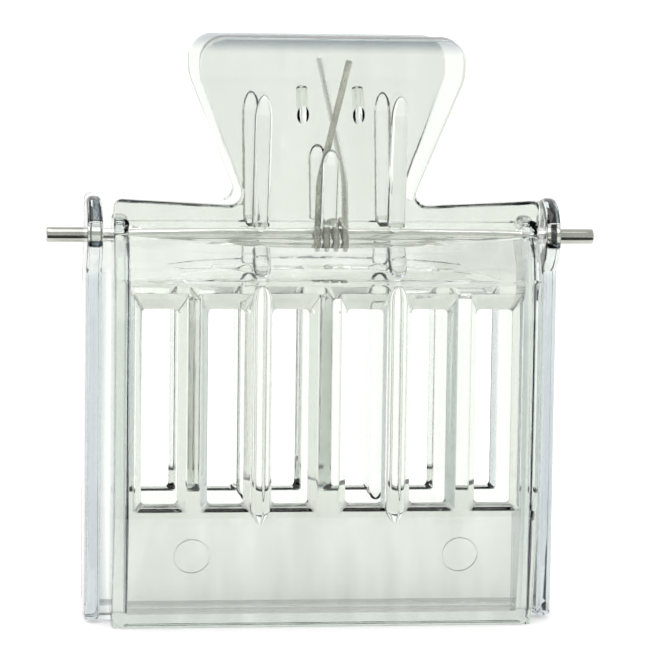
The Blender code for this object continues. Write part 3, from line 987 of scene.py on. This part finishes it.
def sweep():
    """White floor that curves up into the backdrop."""
    profile = [(-FLOOR_HALF_WIDTH, 0), (-0.4, 0), (0.2, 0)]
    for degrees in range(0, 91, 6):
        a = math.radians(degrees)
        profile.append((FLOOR_BACK + SWEEP_RADIUS * math.sin(a), SWEEP_RADIUS - SWEEP_RADIUS * math.cos(a)))
    profile.append((FLOOR_BACK + SWEEP_RADIUS, BACKDROP_TOP))
    mesh = bpy.data.meshes.new("floor")
    work = bmesh.new()
    across = (-FLOOR_HALF_WIDTH, 0, FLOOR_HALF_WIDTH)
    rows = [[work.verts.new((x, y, z)) for x in across] for y, z in profile]
    for low, high in zip(rows, rows[1:]):
        for k in range(2):
            work.faces.new((low[k], low[k + 1], high[k + 1], high[k]))
    work.to_mesh(mesh)
    work.free()
    floor = new_object("floor", mesh)
    mesh.shade_smooth()
    mesh.materials.append(white_paper("white_paper", PAPER_GLOW))


def card(name, corners, shade):
    """A dark card that only reflections see."""
    mesh = bpy.data.meshes.new(name)
    mesh.from_pydata([Vector(c) for c in corners], [], [(0, 1, 2, 3)])
    solid = new_object(name, mesh)
    skin, tree, shader = new_material(name)
    tree.links.new(colours(tree, noise(tree, 12, 2), (shade,) * 3, (shade * 1.3,) * 3),
                   shader.inputs["Base Color"])
    shader.inputs["Roughness"].default_value = 0.9
    mesh.materials.append(skin)
    solid.visible_camera = False
    solid.visible_shadow = False
    solid.visible_diffuse = False
    solid.visible_transmission = False


def area_light(name, place, aim, size, power):
    data = bpy.data.lights.new(name, "AREA")
    data.shape = "RECTANGLE"
    data.size, data.size_y = size
    data.energy = power
    lamp = bpy.data.objects.new(name, data)
    bpy.context.scene.collection.objects.link(lamp)
    lamp.location = place
    lamp.rotation_euler = (Vector(aim) - Vector(place)).to_track_quat("-Z", "Y").to_euler()


def world_light(front, back):
    """Soft studio surround: paler behind the object than in front of it."""
    world = bpy.data.worlds.new("studio")
    bpy.context.scene.world = world
    world.use_nodes = True
    tree = world.node_tree
    where = tree.nodes.new("ShaderNodeTexCoord")
    parts = tree.nodes.new("ShaderNodeSeparateXYZ")
    tree.links.new(where.outputs["Generated"], parts.inputs["Vector"])
    mix = colours(tree, parts.outputs["Y"], (front,) * 3, (back,) * 3, -0.25, 0.55)
    tree.links.new(mix, tree.nodes["Background"].inputs["Color"])


def camera():
    """Camera nearly in front of the object, a little to its left and above it."""
    data = bpy.data.cameras.new("camera")
    data.lens = CAMERA_LENS
    data.sensor_width = 36
    data.clip_start = 0.01
    data.clip_end = 20
    eye = bpy.data.objects.new("camera", data)
    bpy.context.scene.collection.objects.link(eye)
    turn = (CAMERA_AIM - CAMERA_PLACE).to_track_quat("-Z", "Y").to_matrix().to_4x4()
    roll = Matrix.Rotation(CAMERA_ROLL, 4, "Z")
    eye.matrix_world = Matrix.Translation(CAMERA_PLACE) @ turn @ roll
    bpy.context.scene.camera = eye


def studio():
    camera()
    sweep()
    world_light(WORLD_FRONT, WORLD_BACK)
    area_light("key", KEY_PLACE, LIGHT_AIM, KEY_SIZE, KEY_POWER)
    area_light("fill", FILL_PLACE, LIGHT_AIM, FILL_SIZE, FILL_POWER)
    corners = [(-CARD_HALF_WIDTH, CARD_NEAR, CARD_UP), (CARD_HALF_WIDTH, CARD_NEAR, CARD_UP),
               (CARD_HALF_WIDTH, CARD_FAR, CARD_UP), (-CARD_HALF_WIDTH, CARD_FAR, CARD_UP)]
    card("low_card", corners, CARD_SHADE)
    scene = bpy.context.scene
    scene.view_settings.view_transform = "Standard"
    scene.view_settings.look = "None"
    scene.view_settings.exposure = EXPOSURE
    scene.cycles.max_bounces = LIGHT_BOUNCES
    scene.cycles.transmission_bounces = LIGHT_BOUNCES
    scene.cycles.transparent_max_bounces = CLEAR_BOUNCES


# ---------------------------------------------------------------- assembly

def put(piece, skin, body, node_name):
    """Gives a piece its material and slot, and puts it in the place of its CAD node."""
    piece.data.materials.clear()
    piece.data.materials.append(skin)
    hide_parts(node_name)
    if body:
        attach(piece, body)


def build():
    plastic = make_plastic()
    front_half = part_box("front_shell")[1].x
    back_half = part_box("back_shell")[1].x
    front = shell("front_shell_body", FRONT, front_half, PARTING_GAP, FRONT_EAR_RADIUS)
    smooth(front, SHELL_CREASE)
    put(front, plastic, "front_body", "front_shell")
    back = shell("back_shell_body", BACK, back_half, -BACK_EAR_RADIUS / 2, BACK_EAR_RADIUS)
    smooth(back, SHELL_CREASE)
    put(back, plastic, "back_body", "back_shell")

    pin = rod()
    smooth(pin, PIN_CREASE)
    put(pin, make_pin_steel(), "back_body", "hinge_pin")
    wire = spring()
    smooth(wire, WIRE_CREASE)
    put(wire, make_spring_steel(), None, "torsion_spring")
    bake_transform(wire)


build()
studio()
